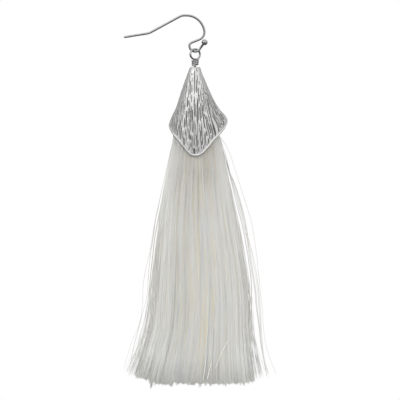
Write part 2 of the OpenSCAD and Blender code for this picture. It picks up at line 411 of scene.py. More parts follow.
def sweepCurve(name, paths, profileRadius, sides):
    # round tubes along paths of (point, radius share), as one mesh; every ring has the same number of sides
    outline = bpy.data.curves.new(name + "_section", "CURVE")
    ring = outline.splines.new("POLY")
    ring.points.add(sides - 1)
    for k, point in enumerate(ring.points):
        turn = 2 * math.pi * k / sides
        point.co = (profileRadius * math.cos(turn), profileRadius * math.sin(turn), 0, 1)
    ring.use_cyclic_u = True
    section = addToScene(name + "_section", outline)
    curve = bpy.data.curves.new(name, "CURVE")
    curve.dimensions = "3D"
    curve.bevel_mode = "OBJECT"
    curve.bevel_object = section
    for path in paths:
        spline = curve.splines.new("POLY")
        spline.points.add(len(path) - 1)
        spline.points.foreach_set("co", [c for point, share in path for c in (*point, 1.0)])
        spline.points.foreach_set("radius", [share for point, share in path])
    swept = addToScene(name, curve)
    mesh = bpy.data.meshes.new_from_object(swept.evaluated_get(bpy.context.evaluated_depsgraph_get()))
    mesh.name = name
    for o in (section, swept):
        bpy.data.objects.remove(o)
    bpy.data.curves.remove(curve)
    bpy.data.curves.remove(outline)
    bm = bmesh.new()
    bm.from_mesh(mesh)
    ends = bmesh.ops.holes_fill(bm, edges=[e for e in bm.edges if e.is_boundary], sides=sides)["faces"]
    bmesh.ops.recalc_face_normals(bm, faces=bm.faces)
    smoothSides(bm)
    for f in ends:
        f.smooth = False
    bm.to_mesh(mesh)
    bm.free()
    return mesh


def wireEyeMesh(e, hookWire):
    r = e["wire"] / 2
    top = pivot.z / mm + r + hookWire / 2 + e["gap"]
    bottom = top - e["height"]
    wrapR = e["wrapWidth"] / 2 - r
    pitch = e["pitch"] * e["wire"]
    wrapTop = bottom - 0.1 * e["wire"]
    count = math.ceil(e["turnSteps"] * e["turns"])
    wraps = []
    for k in range(count + 1):
        turn = e["turns"] * (1 - k / count)
        u = math.radians(-90 - 360 * turn)
        loose = wrapR * (1 + e["wobble"] * math.sin(2.3 * u + 1))
        wraps.append(Vector((loose * math.cos(u), loose * math.sin(u), wrapTop - pitch * turn)))
    closing = e["closing"]
    oval = [Vector((e["width"] / 2 * math.cos(u), 0, (top + bottom) / 2 + e["height"] / 2 * math.sin(u)))
            for u in (math.radians(d) for d in range(closing - 90, 271 - closing, 4))]
    c = math.radians(closing)
    leave = Vector((e["width"] * math.cos(c), 0, e["height"] * math.sin(c))).normalized()
    arrive = Vector((leave.x, 0, -leave.z))
    w = e["wire"]
    first, last, foot = oval[0], oval[-1], wraps[-1]
    stem = Vector((0, 0, bottom - r))
    rise = bezier(foot, foot + Vector((0.85 * w, 0, 0.15 * w)), first - 0.7 * w * leave, first, 14)
    fall = bezier(last, last + 0.9 * w * arrive, stem + Vector((0, 0, 0.7 * w)), stem, 14)
    headTop = capTop - e["roof"] - e["seatGap"]
    points = wraps[:-1] + rise + oval + fall[1:] + [stem, Vector((0, 0, headTop))]
    # wound left-handed, so the turns fall towards the right in front
    turned = Matrix.Rotation(math.radians(e["turned"]), 3, "Z") @ Matrix.Scale(-1, 3, (1, 0, 0))
    place = Vector((dropX, 0, 0))
    path = [((turned @ p + place) * mm, 1.0) for p in points]
    # its hidden end is upset into a small head that holds the cap
    for drop in (0.03, e["headH"]):
        path.append((Vector((dropX, 0, headTop - drop)) * mm, e["head"]))
    mesh = sweepCurve("wire_eye", [path], r * mm, e["sides"])
    # painted shade on the inner side of the wrapped turns, where they lie on the stem
    wrapShade = []
    for v in mesh.vertices:
        out = math.hypot(v.co.x / mm - dropX, v.co.y / mm)
        inWraps = ease((wrapTop + 0.5 - v.co.z / mm) / 0.6)
        wrapShade.append(inWraps * ease((wrapR + 0.15 - out) / 0.3))
    writeMask(mesh, "wrapShade", wrapShade)
    return mesh


wrapped = wireMaterial("wrapped wire", wireEye["look"])
addPiece("wire_eye", wireEyeMesh(wireEye, earWire["wire"]), wrapped, "drop", "eye_loop")
print("stage: wire eye wrapped")


# Cast cap: one wall from the hole in its roof over the outside, round the rim and back up the inside

castCap = {
    "height": 31.3,
    "leftH": 20.4,
    "rightH": 18.9,
    "left": 9.2,
    "right": 11.3,
    "depth": 7.8,
    "wall": 0.7,
    "roof": 0.8,
    "hole": 0.50,
    "columns": 480,
    "wallRows": 132,
    "rimRows": 18,
    "rimShare": 0.96,
    "lipH": 0.5,
    "lipOut": 0.09,
    "grooveD": 0.27,
    "lineD": 0.09,
    "pitD": 0.24,
    "leanLeft": 0.55,
    "leanRight": 0.12,
    "strokeColumns": 34,
    "strokeTops": (0.0, 0.36, 0.08, 0.4),  # share of the way down where each column starts
    "strokeLens": (2, 3, 4.5, 6.5, 8.5),
    "strokeGap": (0.2, 1.0),
    "strokeHalf": (0.14, 0.21),
    "strokeD": (0.55, 1.0),  # as a share of grooveD
    "ridgeColumns": 6,
    "ridgeStep": 0.062,  # radians
    "ridgeTops": (0.42, 0.08),
    "ridgeLen": (2, 7),
    "ridgeGap": (0.3, 1.2),
    "ridgeHalf": (0.11, 0.16),
    "ridgeD": (0.5, 0.9),
    "sideShade": 0.408,  # how dark the painted shade at the left and right is, at most 1
    # how dark the painted shade at the top is, toning down its bright reflection
    "topShade": 0.34,
    "seed": 11,
    "look": {
        "bright": (0.77, 0.77, 0.765),
        "dark": (0.13, 0.128, 0.124),
        "rubbedAndGlint": (0.86, 0.86, 0.85),
        "gloss": 0.38,
        "matt": 0.62,
        "darkMetal": 0.6,
        "smudge": 0.3,
        "smudgeSize": 420,
        "markSize": 2400,
        "bump": 0.5,
    },
}
# share of the way from roof to rim, then each reach as a share of its corner's
capRows = [
    (0.00, 0.180, 0.150, 0.225),
    (0.02, 0.213, 0.165, 0.270),
    (0.08, 0.262, 0.194, 0.360),
    (0.14, 0.312, 0.234, 0.432),
    (0.20, 0.360, 0.278, 0.500),
    (0.35, 0.478, 0.378, 0.650),
    (0.50, 0.585, 0.494, 0.790),
    (0.65, 0.690, 0.616, 0.895),
    (0.78, 0.812, 0.760, 0.955),
    (0.88, 0.918, 0.910, 0.985),
    (0.95, 0.978, 0.985, 1.000),
    (1.00, 1.000, 1.000, 1.000),
]
# angle from the corner towards the petal's tip, share of the fall from corner to tip
rimRows = [(0, 0), (16, 0.13), (35, 0.32), (54, 0.54), (66, 0.74), (77, 0.92), (84, 0.98), (90, 1)]
# the deep cuts on the front: x and distance below the cap's top where each starts and ends, width, share of
# the full depth
frontCuts = [
    (-2.9, 2.9, -3.8, 7.6, 0.5, 0.8), (-1.6, 4.9, -1.8, 9.8, 0.55, 1.0), (-4.0, 9.0, -4.3, 11.6, 0.5, 0.8),
    (-2.6, 11.4, -2.8, 14.2, 0.55, 1.0), (-4.7, 12.3, -5.1, 17.6, 0.6, 1.0),
    (-5.1, 18.4, -5.2, 25.6, 0.65, 1.0), (-3.8, 13.2, -3.7, 15.3, 0.45, 0.7),
    (-3.0, 15.4, -3.3, 21.2, 0.6, 1.0), (-1.6, 15.3, -1.6, 18.0, 0.45, 0.8),
    (-0.9, 14.8, -1.0, 19.4, 0.5, 0.9), (0.8, 10.8, 0.9, 21.2, 0.55, 1.0), (1.4, 9.6, 1.6, 12.3, 0.4, 0.7),
    (4.3, 10.8, 5.8, 18.7, 0.6, 0.9), (5.7, 18.4, 7.1, 24.5, 0.85, 1.0), (6.2, 15.4, 8.3, 23.2, 0.65, 1.0),
    (6.9, 12.3, 9.4, 20.3, 0.55, 0.9), (8.6, 16.6, 10.1, 19.1, 0.5, 0.8), (3.9, 18.4, 4.1, 20.9, 0.5, 0.8),
    (-2.2, 21.6, -2.1, 25.6, 0.6, 1.0), (-4.0, 24.6, -3.9, 28.3, 0.55, 0.9),
    (0.6, 23.8, 0.7, 28.2, 0.5, 0.9), (-0.3, 24.1, -0.3, 27.8, 0.45, 0.8),
    (-0.3, 28.5, -0.2, 30.6, 1.1, 0.8), (1.9, 22.0, 1.9, 25.6, 0.5, 0.8), (3.4, 22.9, 3.5, 28.0, 0.6, 1.0),
    (2.4, 26.0, 2.4, 27.7, 0.7, 0.7), (4.6, 25.1, 4.8, 27.0, 0.5, 0.8), (5.3, 21.6, 5.3, 23.6, 0.45, 0.7),
    (-7.2, 19.3, -7.0, 23.0, 0.5, 0.8), (-6.6, 17.0, -6.5, 19.6, 0.45, 0.7),
    (-8.4, 20.6, -8.6, 19.0, 0.6, 0.9), (-6.6, 20.6, -6.1, 24.3, 0.5, 0.8),
    (7.4, 13.8, 10.2, 17.9, 0.45, 1.0), (6.0, 16.9, 8.9, 21.5, 0.5, 1.0), (5.2, 19.6, 6.3, 25.0, 0.5, 0.9),
    (-7.6, 15.6, -7.9, 18.4, 0.5, 1.0), (-5.9, 15.0, -6.1, 19.2, 0.45, 0.9),
    (-5.6, 20.0, -5.3, 25.0, 0.45, 0.9),
]
# small pits among them: x, distance below the top, radius
frontPits = [
    (1.1, 8.0, 0.42), (2.8, 9.6, 0.4), (3.8, 9.4, 0.42),
    (3.0, 10.9, 0.25), (1.5, 5.6, 0.25), (-1.2, 2.6, 0.3),
]


def petalShare(u):
    return smoothValue(rimRows, math.degrees(math.asin(min(1, abs(math.sin(u))))), 1)


def rimDrop(u):
    corner = castCap["leftH"] if math.cos(u) < 0 else castCap["rightH"]
    return corner + (castCap["height"] - corner) * petalShare(u)


def sideReach(u, way):
    if math.cos(u) < 0:
        return castCap["left"] * smoothValue(capRows, way, 1)
    return castCap["right"] * smoothValue(capRows, way, 2)


def frontPlace(x, below):
    # where a point that the front shows lies on the wall: its angle and its share of the way down
    u, way = -math.pi / 2, below / castCap["height"]
    for _ in range(12):
        way = min(1, below / rimDrop(u))
        u = -math.acos(max(-1, min(1, x / sideReach(-math.pi if x < 0 else 0, way))))
    return u, way


def fanOut(share, base, way):
    # columns lean outwards on their way down, more on the left than on the right
    lean = castCap["leanLeft"] if share < 0 else castCap["leanRight"]
    return share * (sideReach(base, 1) / sideReach(base, way)) ** lean


def nearCharted(charted, start, end, way, low):
    middle = (way + low) / 2
    return any(w1 - 0.02 < middle < w2 + 0.02 and abs(u1 + u2 - start - end) < 0.05
               for u1, w1, u2, w2, _, _ in charted)


def cutLines(c):
    # every cut as (angle and share where it starts, the same where it ends, half width, depth)
    rng = random.Random(c["seed"])
    cuts = []
    for x1, b1, x2, b2, width, deep in frontCuts:
        u1, w1 = frontPlace(x1, b1)
        u2, w2 = frontPlace(x2, b2)
        if w1 > w2:
            u1, w1, u2, w2 = u2, w2, u1, w1
        cuts.append((u1, w1, u2, w2, 0.42 * width, deep * c["grooveD"]))
    # columns of strokes between them on the front and all over the back
    charted = list(cuts)
    for face in (-1, 1):
        for k in range(c["strokeColumns"]):
            t = 2 * (k + 0.5) / c["strokeColumns"] - 1
            share = (t + math.sin(t * math.pi / 2)) / 2
            base = face * math.acos(share)
            # the wall narrows upwards, so only some columns go on to the top
            way = c["strokeTops"][k % 4] + rng.uniform(0, 0.1)
            while abs(fanOut(share, base, way)) > 0.98 and way < 0.93:
                way += 0.01
            while way < 0.93:
                run = rng.choice(c["strokeLens"]) * rng.uniform(0.8, 1.2)
                low = min(0.965, way + run / rimDrop(base))
                half = rng.uniform(*c["strokeHalf"]) * (0.7 + 0.3 * low) / (1 - share ** 2) ** 0.4
                deep = c["grooveD"] * rng.uniform(*c["strokeD"])
                start = face * math.acos(fanOut(share, base, way)) + rng.uniform(-0.014, 0.014)
                end = face * math.acos(fanOut(share, base, low)) + rng.uniform(-0.014, 0.014)
                if not nearCharted(charted, start, end, way, low):
                    cuts.append((start, way, end, low, half, deep))
                way = low + rng.uniform(*c["strokeGap"]) / rimDrop(base)
    # upright strokes on the ridges at the left and the right, where the front and the back meet
    for ridge in (0, math.pi):
        for k in range(c["ridgeColumns"]):
            way = c["ridgeTops"][k % 2] + rng.uniform(0, 0.12)
            aside = c["ridgeStep"] * (k - (c["ridgeColumns"] - 1) / 2)
            while way < 0.9:
                low = min(0.955, way + rng.uniform(*c["ridgeLen"]) / rimDrop(ridge))
                half = rng.uniform(*c["ridgeHalf"]) * (0.7 + 0.3 * low)
                u = ridge + aside + rng.uniform(-0.012, 0.012)
                deep = c["grooveD"] * rng.uniform(*c["ridgeD"])
                cuts.append((u, way, u + rng.uniform(-0.01, 0.01), low, half, deep))
                way = low + rng.uniform(*c["ridgeGap"]) / rimDrop(ridge)
    return cuts


def cutsAcross(cuts, way):
    # the cuts that one ring of the wall meets, each as (angle, half width, depth) there
    met = []
    for u1, w1, u2, w2, half, deep in cuts:
        if w1 < way < w2:
            t = (way - w1) / (w2 - w1)
            fade = math.sqrt(min(1, 5 * t, 5 * (1 - t)))
            wobble = 0.006 * noise.noise(Vector((u1 * 9, way * 24, deep * 50)))
            met.append((u1 + (u2 - u1) * t + wobble, half * (0.55 + 0.45 * fade), deep * fade))
    return met


def cutAt(u, way, arc, fall, met, pits):
    # how deep the wall is cut at one point, and how far metal is pushed up beside a cut
    cut, crest = 0.0, 0.0
    for centre, half, depth in met:
        gap = turnBetween(u, centre) * arc
        if gap < half:
            cut = max(cut, depth * (1 - (gap / half) ** 4))
        elif gap < 2.2 * half:
            crest = max(crest, 0.28 * depth * (1 - (gap / half - 1) / 1.2))
    for pitU, pitWay, size in pits:
        gap = math.hypot((u - pitU) * arc, (way - pitWay) * fall)
        if gap < size:
            cut = max(cut, castCap["pitD"] * (1 - (gap / size) ** 2))
    return cut, crest


def drawnLines(c, cosU, sinU, reach, way, fall):
    # fine drawn lines that double in number as the wall widens; returns how dark, and how far from a line
    full, lean = (c["left"], c["leanLeft"]) if cosU < 0 else (c["right"], c["leanRight"])
    share = cosU * (reach / full) ** lean
    across = 0.44 * share + 0.42 * math.asin(share)
    face = 7.6 if sinU > 0 else 0.4
    down = way * fall
    level = math.log2(reach / 0.42)
    low = math.floor(level)
    wide, thin = (abs(noise.noise(Vector((2 ** k * across, face, 0.13 * down + 3 * across + 40 * k))))
                  for k in (low, low + 1))
    ridge = wide + (thin - wide) * ease((level - low - 0.3) / 0.4)
    breaks = noise.noise(Vector((1.2 * 2 ** low * across, face + 3, 0.25 * down + 40)))
    drawn = ease((0.16 - ridge) / 0.1) * (0.35 + 0.65 * ease((breaks + 0.36) / 0.3))
    return drawn * (0.5 + 0.5 * ease(way / 0.3)) * ease(abs(sinU) / 0.1), ridge


def capStations(c):
    # the rings of the cap in order, each as (part of the section, share of the way or size there)
    outer = [c["rimShare"] * k / c["wallRows"] for k in range(c["wallRows"] + 1)]
    outer += [c["rimShare"] + (1 - c["rimShare"]) * k / c["rimRows"] for k in range(1, c["rimRows"] + 1)]
    stations = [("hole", c["hole"])]
    stations += [("wall", way) for way in outer]
    stations += [("nose", turn) for turn in (36, 72, 108, 144)]
    inner = (1, 0.985, 0.96, 0.92, 0.86, 0.8, 0.7, 0.6, 0.5, 0.4, 0.3, 0.22, 0.16)
    stations += [("inside", way) for way in inner]
    return stations + [("ceiling", c["left"] * 0.18 - 0.14), ("ceiling", c["hole"])]


def capMesh(c):
    cuts = cutLines(c)
    pits = [(*frontPlace(x, below), size) for x, below, size in frontPits]
    stations = capStations(c)
    count = len(stations)
    bm = ringedTube(c["columns"], count - 2, False)
    # this mask holds the tarnish in the cuts and the painted shade at the sides and the top
    grooveAndShade = bm.verts.layers.float.new("grooveAndShade")
    # this mask holds the rubbed rim and the painted highlights beside the cuts and between the lines
    polishAndGlint = bm.verts.layers.float.new("polishAndGlint")
    rings = [[] for _ in stations]
    for v in bm.verts:
        rings[round((0.5 - v.co.z) * (count - 1))].append(v)

    for (kind, value), ring in zip(stations, rings):
        way = min(value, 1) if kind in ("wall", "inside") else 1
        left, right, deep = (c[name] * smoothValue(capRows, way, k)
                             for k, name in enumerate(("left", "right", "depth"), 1))
        met = cutsAcross(cuts, way) if kind == "wall" else []
        for v in ring:
            u = math.atan2(v.co.y, v.co.x)
            cosU, sinU = math.cos(u), math.sin(u)
            if kind in ("hole", "ceiling"):
                z = capTop - (c["roof"] if kind == "ceiling" else 0)
                v.co = Vector((dropX + value * cosU, value * sinU, z))
                continue
            reach = left if cosU < 0 else right
            fall = rimDrop(u)
            z = capTop - way * fall
            if kind == "inside":
                out = -c["wall"]
            elif kind == "nose":
                turn = math.radians(value)
                out = -c["wall"] / 2 * (1 - math.cos(turn)) + 0.06
                z -= 0.3 * c["wall"] * math.sin(turn)
                v[polishAndGlint] = 1
            else:
                arc = math.hypot(reach * sinU, deep * cosU)
                cut, crest = cutAt(u, way, arc, fall, met, pits)
                # the rim is a smooth raised strip, clear of cuts
                up = (1 - way) * fall
                lip = ease((1.5 * c["lipH"] - up) / (0.5 * c["lipH"]))
                bead = 0
                if up < c["lipH"]:
                    bead = c["lipOut"] * math.sqrt(max(0, 1 - (up / c["lipH"] - 0.45) ** 2 / 0.3))
                cut *= 1 - lip
                drawn, ridge = drawnLines(c, cosU, sinU, reach, way, fall)
                drawn *= 1 - lip
                swell = 0.03 * noise.noise(Vector((3 * cosU, 3 * sinU, way * 6 + 0.4))) * ease(way / 0.3)
                out = (crest + swell) * (1 - lip) - max(cut, c["lineD"] * drawn) + bead
                # tarnish in the cuts and lines, and painted shade along the left and right sides and at the
                # top
                edge = c["sideShade"] * ease((abs(cosU) - 0.45) / 0.4) * (1 - lip)
                paintedTopShade = c["topShade"] * (1 - ease(way / 0.12))
                v[grooveAndShade] = max(min(1, 1.35 * cut / c["grooveD"]), 0.45 * drawn, edge, paintedTopShade)
                # rubbed bright on the rim, fainter on the left, and painted highlights beside the cuts and
                # between the lines
                rubbedAndGlint = 0.15 + 0.75 * ease((cosU + 0.6) / 0.8)
                v[polishAndGlint] = max(rubbedAndGlint * lip, min(1, crest / 0.08) * 0.55, 0.2 * ease((ridge - 0.22) / 0.2))
            v.co = Vector((dropX + (reach + out) * cosU, (deep + out) * sinU, z))
    openings = [e for e in bm.edges if e.is_boundary]
    bmesh.ops.bridge_loops(bm, edges=openings)
    return finishedMesh("cast_cap", bm)


def capMaterial(look):
    material, tree, shader = newMaterial("antiqued cast silver", {})
    marks = placeGroup(tree, handling, {"Smudge size": look["smudgeSize"], "Mark size": look["markSize"]})
    grooveAndShade = readMask(tree, "grooveAndShade")
    polishAndGlint = readMask(tree, "polishAndGlint")
    # dark tarnish sits in the cuts, and cloudy patches of it on the wall; the same mask also carries
    # painted shade at the sides and the top
    tarnishAndShade = remap(tree, 0.12, 0.8, interpolation_type="SMOOTHSTEP")
    patch = remap(tree, 0.48, 0.8, 0, look["smudge"])
    dark = addNode(tree, "ShaderNodeMath", operation="MAXIMUM")
    tone = mixColours(tree, look["bright"], look["dark"])
    # this brighter colour is the rubbed rim and the painted highlights beside the cuts
    rubbedAndGlint = mixColours(tree, None, look["rubbedAndGlint"])
    rough = remap(tree, 0, 1, look["gloss"], look["matt"])
    metal = remap(tree, 0, 1, 1, look["darkMetal"])
    bump = addNode(tree, "ShaderNodeBump", {"Strength": look["bump"], "Distance": 0.00006})
    join(tree, grooveAndShade, "Fac", tarnishAndShade, "Value")
    join(tree, marks, "Smudge", patch, "Value")
    join(tree, tarnishAndShade, "Result", dark, 0)
    join(tree, patch, "Result", dark, 1)
    join(tree, dark, 0, tone, 0)
    join(tree, polishAndGlint, "Fac", rubbedAndGlint, 0)
    join(tree, tone, 2, rubbedAndGlint, 6)
    join(tree, rubbedAndGlint, 2, shader, "Base Color")
    join(tree, dark, 0, rough, "Value")
    join(tree, dark, 0, metal, "Value")
    join(tree, rough, "Result", shader, "Roughness")
    join(tree, metal, "Result", shader, "Metallic")
    join(tree, marks, "Marks", bump, "Height")
    join(tree, bump, "Normal", shader, "Normal")
    return material


antiqued = capMaterial(castCap["look"])
addPiece("cast_cap", capMesh(castCap), antiqued, "drop", "cap")
print("stage: cap cast")


# Tassel: a core under thousands of fine threads, with loose ones at its sides

tassel = {
    "end": 110.3,
    "thread": 0.05,  # radius
    "stray": 0.08,  # radius
    "sides": 3,
    "coreColumns": 128,
    "coreRings": 63,
    "outer": 9000,
    "fuzz": 4,  # outer threads that stand off
    "brush": 7000,
    "hairs": 20,
    "fringe": 56,
    "wisps": 20,
    "wispTop": 24,
    "perPiece": 3000,
    "tufts": 54,
    "tuftHalf": (0.006, 0.012),  # radians
    "lean": 0.02,  # radians
    "bow": 0.05,
    "edgeBow": 0.35,  # added at the left and right edges
    "fringeStart": (45, 85),
    "fringeAway": (0.4, 4.4),
    "wispAway": (0.02, 0.22),  # as a share of the tassel's own reach
    "seed": 5,
    "tones": {
        "shaded": (0.78, 0.785, 0.775),
        "usual": (0.91, 0.915, 0.89),
        "lit": (1.06, 1.06, 1.035),
        "paintedCapShadow": (0.56, 0.52, 0.46),
        "cream": (0.99, 0.86, 0.53),
    },
}
# distance below the cap's top, then how far the dense part reaches to the left, the right and the front
tasselRows = [
    (1.6, 1.5, 1.5, 0.9),
    (6.3, 3.1, 3.1, 2.9),
    (12.5, 5.1, 5.4, 4.4),
    (18.8, 6.9, 7.2, 5.6),
    (25.0, 7.5, 8.6, 6.4),
    (31.3, 8.8, 10.2, 6.8),
    (41.0, 10.6, 12.1, 8.4),
    (52.3, 12.2, 13.9, 9.9),
    (65.1, 13.4, 16.3, 11.5),
    (79.7, 14.5, 18.2, 12.8),
    (92.0, 15.6, 18.5, 13.7),
    (101.0, 18.3, 19.3, 14.2),
    (111.9, 21.8, 20.7, 14.7),
]
# the same worked out every half millimetre, because every point of every thread looks it up
tasselTop, tasselStep = tasselRows[0][0], 0.5
tasselTable = [tuple(smoothValue(tasselRows, tasselTop + tasselStep * k, c) for c in (1, 2, 3))
               for k in range(222)]


def tasselPoint(u, ring, below):
    k = min(len(tasselTable) - 1.001, max(0, (below - tasselTop) / tasselStep))
    low, high = tasselTable[int(k)], tasselTable[int(k) + 1]
    left, right, deep = (a + (b - a) * (k - int(k)) for a, b in zip(low, high))
    x = dropX + (right - left) / 2 + (right + left) / 2 * ring * math.cos(u)
    return Vector((x, deep * ring * math.sin(u), capTop - below))


def cornerRise(across):
    # the trimmed end rises at its left and right corners
    if across < 0:
        return 2.5 * max(0, -across - 0.6) / 0.4
    return 1.3 * max(0, across - 0.85) / 0.15


def coreMesh():
    bm = ringedTube(tassel["coreColumns"], tassel["coreRings"], True)
    for v in bm.verts:
        u = math.atan2(v.co.y, v.co.x)
        share = 0.5 - v.co.z
        below = 3 + share * (tassel["end"] - 5.5 - cornerRise(math.cos(u)))
        lock = 1 + 0.008 * noise.noise(Vector((5 * math.cos(u), 5 * math.sin(u), share * 2)))
        ring = 0.955 * lock * (1 - 0.04 * ease((share - 0.985) / 0.015))
        v.co = tasselPoint(u, ring, below)
    return finishedMesh("tassel_core", bm)


def wander(u, below, seed, size):
    # neighbouring threads drift together, more so towards the ends
    way = ease((below - 30) / 70)
    return size * way * noise.noise(Vector((2.6 * math.cos(u), 2.6 * math.sin(u), below * 0.012 + seed)))


def threadPath(rng, u, ring, loose, start, end, steps):
    lean = rng.gauss(0, tassel["lean"])
    bow = rng.gauss(0, tassel["bow"] + tassel["edgeBow"] * abs(math.cos(u)) ** 14)
    phase = rng.uniform(0, 6.3)
    path = []
    for k in range(steps + 1):
        t = k / steps
        below = start + (end - start) * t
        free = ease((below - 30) / 50)
        spread = ring * (1 + 0.008 * wander(u, below, 4, 1))
        turn = u + lean * (t - 0.3) + wander(u, below, 9, 0.02)
        p = tasselPoint(turn, spread, below)
        off = free * (loose + bow * math.sin(2.6 * t + phase))
        p.x += off * math.cos(u)
        p.y += off * math.sin(u)
        path.append((p * mm, (0.75 + 0.6 * (below - 18) / 93) * (1 if k < steps else 0.95)))
    return path


def ragged(rng):
    # small pointed tufts round the trimmed end: angle, half width and how far each sticks out
    found = []
    for _ in range(tassel["tufts"]):
        centre = 2 * math.pi * rng.random()
        half = rng.uniform(*tassel["tuftHalf"])
        found.append((centre, half, rng.uniform(0.4, 1.1) + 0.8 * rng.random() ** 8))
    return found


def endBelow(rng, u, ring, tufts):
    # how far down a thread goes: unevenly cut, in small clumps, shorter inside than on the outside
    across, along = math.cos(u), math.sin(u)
    end = tassel["end"] - cornerRise(min(1, ring) * across) - 0.3 * rng.random() - 1.2 * rng.random() ** 6
    end += 0.3 * noise.noise(Vector((5 * across, 5 * along, 60)))
    end += 1.3 * noise.noise(Vector((26 * ring * across, 26 * ring * along, 30)))
    end -= 1.2 * ease((0.97 - ring) / 0.1)
    if ring > 0.9:
        for centre, half, reach in tufts:
            gap = turnBetween(u, centre)
            if gap < half:
                end += reach * (1 - (gap / half) ** 2)
    return end


# how the threads' tints vary round the tassel and down it: how often round, how often per millimetre, and
# which part of the noise
tintNoise = {
    "broad": (9, 0.02, 7),
    "streak": (34, 0.022, 0),
    "fine": (84, 0.05, 20),
    "dash": (84, 0.1, 50),
}
# where each tint lies, from the drop's axis or below the cap's top, and how far it reaches on both sides
tintPlace = {
    "middle": (1.5, 7.5),
    "paintedCapShadow": (1.6, 7.5),
    "underCap": (31, 14),
    "cream": (73, 37),
    "capShade": (24, 26),
}
# how much lighter or darker each one makes a thread, from 0 for the shaded tone to 1 for the lit one
tintStep = {
    "usual": 0.57,
    "own": 0.2,
    "streak": 0.02,
    "broad": 0.02,
    "underCap": -0.4,
    "middle": -0.4,
    "side": 0.14,
    "edge": 0.28,
    "capShade": -0.42,
}


def tintAt(kind, out, below):
    size, stretch, part = tintNoise[kind]
    return noise.noise(Vector((size * out.x, size * out.y, below * stretch + part)))


def threadMask(mesh, paths, rng, lift=0):
    # each thread has its own shade, and neighbours in the middle share cream streaks and a faint warm
    # painted shadow under the cap
    masks = {"shade": [], "cream": [], "paintedCapShadow": []}
    step = tintStep
    for path in paths:
        own = rng.random()
        for point, _ in path:
            x, below = point.x / mm - dropX, capTop - point.z / mm
            out = Vector((x, 1.4 * point.y / mm, 0)).normalized()
            broad, streak, fine, dash = (tintAt(kind, out, below) for kind in tintNoise)
            middle = hump(x, *tintPlace["middle"])
            under = hump(below, *tintPlace["underCap"])
            cream = ease((fine - 0.02) / 0.22) * ease((dash + 0.24) / 0.3) * (0.35 + 0.65 * middle)
            cream *= hump(below, *tintPlace["cream"]) * (0.6 + 0.4 * own)
            # painted shadow of the cap, dark and warm, strongest under its middle
            paintedCapShadow = (0.75 + 0.5 * broad + 1.3 * fine) * hump(x, *tintPlace["paintedCapShadow"]) * under
            shade = step["usual"] + lift + step["own"] * (own - 0.5) + step["broad"] * broad
            shade += step["streak"] * streak * (1 - middle) + step["middle"] * middle
            shade += step["underCap"] * fine * under
            # painted light at the sides against their falloff, and painted shade just under the cap
            shade += step["side"] * out.x ** 2 + step["edge"] * out.x ** 6
            shade += step["capShade"] * hump(below, *tintPlace["capShade"])
            for name, value in (("shade", shade), ("cream", cream), ("paintedCapShadow", paintedCapShadow)):
                masks[name] += [min(1, max(0, value))] * tassel["sides"]
    for name, values in masks.items():
        writeMask(mesh, name, values)


def threadMesh(name, paths, radius, rng, lift=0):
    mesh = sweepCurve(name, paths, radius * mm, tassel["sides"])
    threadMask(mesh, paths, rng, lift)
    return mesh


def grainGroup():
    # fine threads that run down a piece, and show as cut ends on a face that looks down
    group, inside, out = newGroup("thread grain", {"Grain size": 5200}, ["Grain"])
    place = addNode(group, "ShaderNodeTexCoord")
    drawn = addNode(group, "ShaderNodeMapping", {"Scale": (1, 1, 0.012)})
    grain = addNode(group, "ShaderNodeTexNoise", {"Detail": 2, "Roughness": 0.6})
    join(group, place, "Object", drawn, "Vector")
    join(group, drawn, "Vector", grain, "Vector")
    join(group, inside, "Grain size", grain, "Scale")
    join(group, grain, "Fac", out, "Grain")
    return group


threadGrain = grainGroup()


def threadMaterial(name, deep, contrast):
    # deep is how much light the silk gives back, contrast how strongly its grain shows
    material, tree, shader = newMaterial(name, {"Roughness": 0.5, "Sheen Weight": 0.15})
    tones = {tone: [level * deep for level in colour] for tone, colour in tassel["tones"].items()}
    shade, cream, paintedCapShadow = (readMask(tree, mask) for mask in ("shade", "cream", "paintedCapShadow"))
    ramp = addNode(tree, "ShaderNodeValToRGB")
    stops = ramp.color_ramp.elements
    stops[0].color = (*tones["shaded"], 1)
    stops[1].color = (*tones["lit"], 1)
    stops.new(0.6).color = (*tones["usual"], 1)
    # the painted shadow under the cap, a dark warm tone
    withCapShadow = mixColours(tree, None, tones["paintedCapShadow"])
    creamed = mixColours(tree, None, tones["cream"])
    grain = placeGroup(tree, threadGrain, {"Grain size": 5200})
    lit = remap(tree, 0.3, 0.7, 1 - contrast)
    shaded = mixColours(tree, None, None, blend_type="MULTIPLY")
    shaded.inputs[0].default_value = 1.0
    join(tree, shade, "Fac", ramp, "Fac")
    join(tree, paintedCapShadow, "Fac", withCapShadow, 0)
    join(tree, ramp, "Color", withCapShadow, 6)
    join(tree, cream, "Fac", creamed, 0)
    join(tree, withCapShadow, 2, creamed, 6)
    join(tree, grain, "Grain", lit, "Value")
    join(tree, creamed, 2, shaded, 6)
    join(tree, lit, "Result", shaded, 7)
    join(tree, shaded, 2, shader, "Base Color")
    return material


# copies of one silk: the core's grain shows more, the loose strays are painted darker against the light,
# and the hairs painted lighter as if they catch it
silk = threadMaterial("pale silk thread", 0.905, 0.05)
coreSilk = threadMaterial("silk in the shade", 0.905, 0.15)
looseSilk = threadMaterial("silk against the light", 0.81, 0.05)
hairSilk = threadMaterial("silk that catches the light", 0.94, 0.0)
core = coreMesh()
for mask, value in (("shade", 0.6), ("cream", 0.0), ("paintedCapShadow", 0.0)):
    writeMask(core, mask, [value] * len(core.vertices))
addPiece("tassel_core", core, coreSilk, "drop", "tassel")

